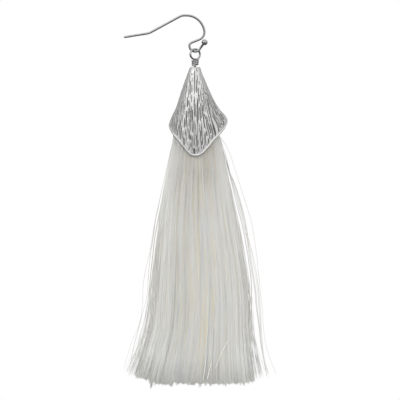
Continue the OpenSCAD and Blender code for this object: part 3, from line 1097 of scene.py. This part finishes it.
rng = random.Random(tassel["seed"])
tufts = ragged(rng)
outer = []
for k in range(tassel["outer"]):
    u = 2 * math.pi * rng.random()
    # most threads lie on the outside
    ring = 1.004 - 0.034 * rng.random() ** 1.6
    loose = abs(rng.gauss(0, 0.9)) if k < tassel["fuzz"] else 0
    outer.append(threadPath(rng, u, ring, loose, rng.uniform(17, 20), endBelow(rng, u, ring, tufts), 10))
for k in range(0, len(outer), tassel["perPiece"]):
    paths = outer[k:k + tassel["perPiece"]]
    name = "tassel_threads_" + str(1 + k // tassel["perPiece"])
    addPiece(name, threadMesh(name, paths, tassel["thread"], rng), silk, "drop", "tassel")
# the cut face below is a brush of short ends
brush = []
for k in range(tassel["brush"]):
    u = 2 * math.pi * rng.random()
    ring = 0.94 * math.sqrt(rng.random())
    brush.append(threadPath(rng, u, ring, 0, tassel["end"] - 7, endBelow(rng, u, ring, tufts), 2))
ends = threadMesh("tassel_ends", brush, 2 * tassel["thread"], rng)
addPiece("tassel_ends", ends, silk, "drop", "tassel")
print("stage: tassel threaded")

# wisps that stand away at the left and the right: threads in each, how loosely they lie, then the line they
# follow, as x from the drop's axis and distance below the cap's top
wisps = [
    (2, 0.08, [
        (-7.4, 24), (-9.9, 35.3), (-12.0, 44.5), (-13.8, 52.5), (-14.9, 58.9), (-16.0, 65.3), (-17.1, 69.6),
        (-18.2, 75.9), (-18.5, 83), (-19.6, 90.2), (-22.0, 95.5), (-23.7, 100.9), (-25.2, 106.4),
    ]),
    (2, 0.08, [
        (-7.4, 24), (-9.8, 35.3), (-11.0, 40), (-12.0, 44.5), (-12.9, 48.9), (-13.9, 53.5), (-14.8, 60.6),
        (-15.6, 65.2), (-16.4, 73.2), (-16.9, 80.5), (-17.8, 84), (-18.9, 88), (-20.0, 92.3), (-21.4, 97.3),
        (-22.5, 102.7), (-23.0, 106.6),
    ]),
    (3, 0.08, [
        (-7.3, 24), (-9.5, 36), (-12.2, 50), (-14.1, 60), (-15.0, 68), (-15.7, 74), (-16.3, 80.2),
        (-17.2, 86.5), (-18.8, 92.3), (-20.0, 97.3), (-21.3, 102.6), (-22.2, 107.4),
    ]),
    (5, 0.35, [
        (-7.2, 24), (-9.1, 38), (-11.9, 52), (-13.6, 64), (-15.4, 76), (-16.5, 86), (-18.3, 95),
        (-20.6, 102), (-23.0, 107.6),
    ]),
    (2, 0.08, [
        (8.4, 24), (11.4, 28.4), (13.8, 35.4), (16.6, 44.5), (19.4, 53.5), (21.2, 64.1), (22.2, 73.2),
        (22.8, 79.2), (23.4, 84.3), (23.8, 90.9), (25.0, 98.7), (28.2, 107.3),
    ]),
    (3, 0.13, [
        (8.4, 24), (10.9, 31.4), (12.1, 36.7), (13.9, 41), (16.0, 48), (17.7, 55.3), (18.9, 64.2),
        (20.3, 73.2), (21.2, 79.2), (21.5, 83.7), (22.4, 90), (23.2, 97.3), (24.5, 104.4), (25.3, 108.4),
    ]),
    (2, 0.13, [
        (8.4, 24), (10.0, 30), (12.2, 38), (14.6, 48), (16.7, 56), (18.5, 66), (19.7, 75), (19.7, 84),
        (19.8, 92), (21.5, 99), (23.4, 108),
    ]),
    (3, 0.25, [
        (8.4, 24), (10.3, 31), (13.0, 40), (15.8, 50), (18.3, 60), (20.4, 68), (21.8, 77), (22.5, 86),
        (23.1, 96), (24.1, 103), (25.7, 107.8),
    ]),
    (4, 0.35, [
        (8.2, 24), (9.4, 30), (11.5, 38), (13.8, 48), (15.6, 56), (17.4, 66), (18.9, 76), (19.2, 86),
        (20.2, 95), (21.7, 102), (22.7, 108.2),
    ]),
]
# pale hairs that cross the front near the ends
crossing = [
    [(11.2, 95.6), (8.9, 100.2), (6.9, 105.2)],
    [(3.9, 99.8), (3.4, 104.5), (2.7, 109.4)],
    [(5.6, 103.2), (4.9, 106.0), (4.1, 108.9)],
]


def downFrom(start, last, steps):
    return [start + (last - start) * j / steps for j in range(steps + 1)]


def thinTipped(points, share):
    # a loose thread along the points, thin at its tip
    return [(p * mm, share) for p in points[:-1]] + [(points[-1] * mm, 0.5)]


def sideWisps(rng):
    paths = []
    for count, spread, line in wisps:
        rows = [(below, x) for x, below in line]
        depth = rng.uniform(-5, 5)
        for _ in range(count):
            shift, y = rng.gauss(0, spread), depth + rng.gauss(0, 2 * spread)
            wave, turn = rng.gauss(0, 0.5 * spread), rng.uniform(0, 6.3)
            last = rows[-1][0] + rng.uniform(-1.5, 0.8) * min(1, 3 * spread)
            points = []
            for below in downFrom(rows[0][0], last, 26):
                free = ease((below - rows[0][0]) / 30)
                x = smoothValue(rows, below, 1) + free * (shift + wave * math.sin(below * 0.06 + turn))
                points.append(Vector((dropX + x, y * free, capTop - below)))
            paths.append(thinTipped(points, 1.0))
    return paths


def edgeFringe(rng):
    # threads that come away from the body's left and right edges lower down
    paths = []
    for k in range(tassel["fringe"]):
        u = math.pi * (k % 2) + rng.gauss(0, 0.22)
        start = rng.uniform(*tassel["fringeStart"])
        far = rng.uniform(*tassel["fringeAway"])
        bend, phase = rng.gauss(0, 0.3), rng.uniform(0, 6.3)
        last = tassel["end"] - cornerRise(math.cos(u)) - rng.uniform(0, 3)
        points = []
        for below in downFrom(start, last, 14):
            way = (below - start) / (last - start)
            away = far * way ** 1.4 + bend * math.sin(0.09 * below + phase)
            points.append(tasselPoint(u, 1, below) + Vector((math.copysign(away, math.cos(u)), 0, 0)))
        paths.append(thinTipped(points, 0.75))
    return paths


def roundWisps(rng):
    # wisps in front and mostly behind, for the views from the sides
    paths = []
    for _ in range(tassel["wisps"]):
        u = rng.choice((-1, 1, 1, 1)) * rng.uniform(0.9, 2.24)
        far = rng.uniform(*tassel["wispAway"])
        bend, phase = rng.uniform(0, 0.03), rng.uniform(0, 6.3)
        last = tassel["end"] - rng.uniform(0, 4)
        points = []
        for below in downFrom(tassel["wispTop"], last, 20):
            free = ease((below - 26) / 60)
            points.append(tasselPoint(u, 1 + free * (far + bend * math.sin(0.07 * below + phase)), below))
        paths.append(thinTipped(points, 1.0))
    return paths


def looseMesh():
    rng = random.Random(tassel["seed"] + 1)
    paths = sideWisps(rng) + edgeFringe(rng) + roundWisps(rng)
    return threadMesh("tassel_strays", paths, tassel["stray"], rng)


def onTheFront(x, below, ring):
    left, right = (tasselPoint(u, 1, below).x - dropX for u in (math.pi, 0))
    return tasselPoint(-math.acos((2 * x - right - left) / (right - left) / ring), ring, below)


def hairMesh():
    # single hairs on the outside, painted lighter as if they catch the light
    rng = random.Random(tassel["seed"] + 2)
    paths = []
    for line in crossing:
        rows = [(below, x) for x, below in line]
        belows = downFrom(rows[0][0], rows[-1][0], 10)
        paths.append([(onTheFront(smoothValue(rows, b, 1), b, 1.04) * mm, 3.0) for b in belows])
    for k in range(tassel["hairs"]):
        start = rng.uniform(22, 90)
        end = min(tassel["end"] - 3, start + rng.uniform(12, 45))
        u, ring = 2 * math.pi * rng.random(), rng.uniform(1.005, 1.02)
        paths.append(threadPath(rng, u, ring, 0, start, end, 10))
    return threadMesh("tassel_hairs", paths, tassel["thread"], rng, 0.6)


addPiece("tassel_strays", looseMesh(), looseSilk, "drop", "tassel")
addPiece("tassel_hairs", hairMesh(), hairSilk, "drop", "tassel")
print("stage: loose threads drawn out")


# Room, in metres: white around, a pale floor under the tassel, soft light from the upper left and the right

room = {
    "view": 0.140,
    "middle": (0.004725, 0.0, -0.0642),
    "distance": 2.0,
    "floor": -0.165,
    "floorR": 0.62,
    "light": 0.95,
    "mirrored": 1.0,
    "lamps": [  # name, place, size, watts
        ("key", (-0.45, -0.6, 0.35), 1.0, 1.5),
        ("fill", (0.6, -0.5, 0.0), 1.0, 1.1),
    ],
}


def paleFloor():
    bm = bmesh.new()
    bmesh.ops.create_circle(bm, cap_ends=True, segments=96, radius=room["floorR"])
    bmesh.ops.translate(bm, verts=bm.verts, vec=(0, 0, room["floor"]))
    floor = addToScene("floor", bareMesh("floor", bm))
    material, _, _ = newMaterial("pale floor", {"Roughness": 0.85, "Base Color": (0.88, 0.88, 0.87, 1)})
    floor.data.materials.append(material)
    floor.visible_glossy = False


def whiteWorld():
    # white to the eye and to cloth; metal mirrors a room that is bright above and dim below
    world = bpy.data.worlds.new("soft room")
    bpy.context.scene.world = world
    tree = newTree(world)
    end = addNode(tree, "ShaderNodeOutputWorld")
    white = addNode(tree, "ShaderNodeBackground", {"Color": (1, 1, 1, 1), "Strength": 1.0})
    light = addNode(tree, "ShaderNodeBackground", {"Color": (1, 1, 1, 1), "Strength": room["light"]})
    shown = addNode(tree, "ShaderNodeBackground", {"Strength": room["mirrored"]})
    ray = addNode(tree, "ShaderNodeLightPath")
    seen = addNode(tree, "ShaderNodeMixShader")
    mix = addNode(tree, "ShaderNodeMixShader")
    place = addNode(tree, "ShaderNodeTexCoord")
    split = addNode(tree, "ShaderNodeSeparateXYZ")
    level = remap(tree, -1, 1)
    ramp = addNode(tree, "ShaderNodeValToRGB")
    ramp.color_ramp.elements[0].color = (0.14, 0.14, 0.14, 1)
    ramp.color_ramp.elements[1].color = (1.0, 1.0, 1.0, 1)
    for position, value in ((0.42, 0.17), (0.5, 0.32), (0.6, 0.45), (0.72, 0.9)):
        stop = ramp.color_ramp.elements.new(position)
        stop.color = (value, value, value, 1)
    join(tree, place, "Generated", split, "Vector")
    join(tree, split, "Z", level, "Value")
    join(tree, level, "Result", ramp, "Fac")
    join(tree, ramp, "Color", shown, "Color")
    join(tree, ray, "Is Camera Ray", seen, "Fac")
    join(tree, light, 0, seen, 1)
    join(tree, white, 0, seen, 2)
    join(tree, ray, "Is Glossy Ray", mix, "Fac")
    join(tree, seen, 0, mix, 1)
    join(tree, shown, 0, mix, 2)
    join(tree, mix, "Shader", end, "Surface")


def softLight(name, place, size, watts):
    lamp = bpy.data.lights.new(name, "AREA")
    lamp.shape = "DISK"
    lamp.size = size
    lamp.energy = watts
    light = addToScene(name, lamp)
    light.location = place
    aim = Vector(room["middle"]) - Vector(place)
    light.rotation_euler = aim.to_track_quat("-Z", "Y").to_euler()


def camera():
    lens = bpy.data.cameras.new("camera")
    lens.sensor_width = 36
    lens.lens = lens.sensor_width * room["distance"] / room["view"]
    eye = addToScene("camera", lens)
    eye.location = Vector(room["middle"]) + Vector((0, -room["distance"], 0))
    eye.rotation_euler = (math.pi / 2, 0, 0)
    bpy.context.scene.camera = eye


paleFloor()
whiteWorld()
for lamp in room["lamps"]:
    softLight(*lamp)
camera()
bpy.context.scene.view_settings.view_transform = "Standard"
print("stage: room set")
